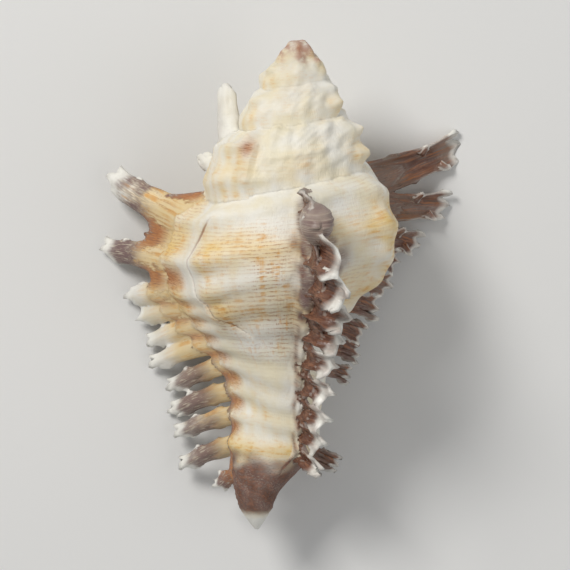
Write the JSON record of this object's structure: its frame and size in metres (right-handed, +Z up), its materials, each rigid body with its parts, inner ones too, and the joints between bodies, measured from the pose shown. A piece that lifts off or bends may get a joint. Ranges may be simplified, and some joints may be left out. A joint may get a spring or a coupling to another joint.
{
  "type": "murex shell",
  "caption": "Spined sea shell with a knobbed spire, rows of hollow fronds on its ridges, and a bent canal below the aperture.",
  "frame": {"origin": "centre of the box in X and Y, on the surface that the shell lies on", "axes": "+Y along the coil axis towards the apex, +Z up through the shell's back, +X to its right as seen from above with the apex away"},
  "size_m": [0.0662, 0.0898, 0.0497],
  "materials": {
    "shell": "natural lime shell, cream and white with tan bands, dark brown to purple fronds, half matt outside and glossy inside the aperture"
  },
  "bodies": {
    "root": {"shell": "shell"}
  },
  "joints": []
}
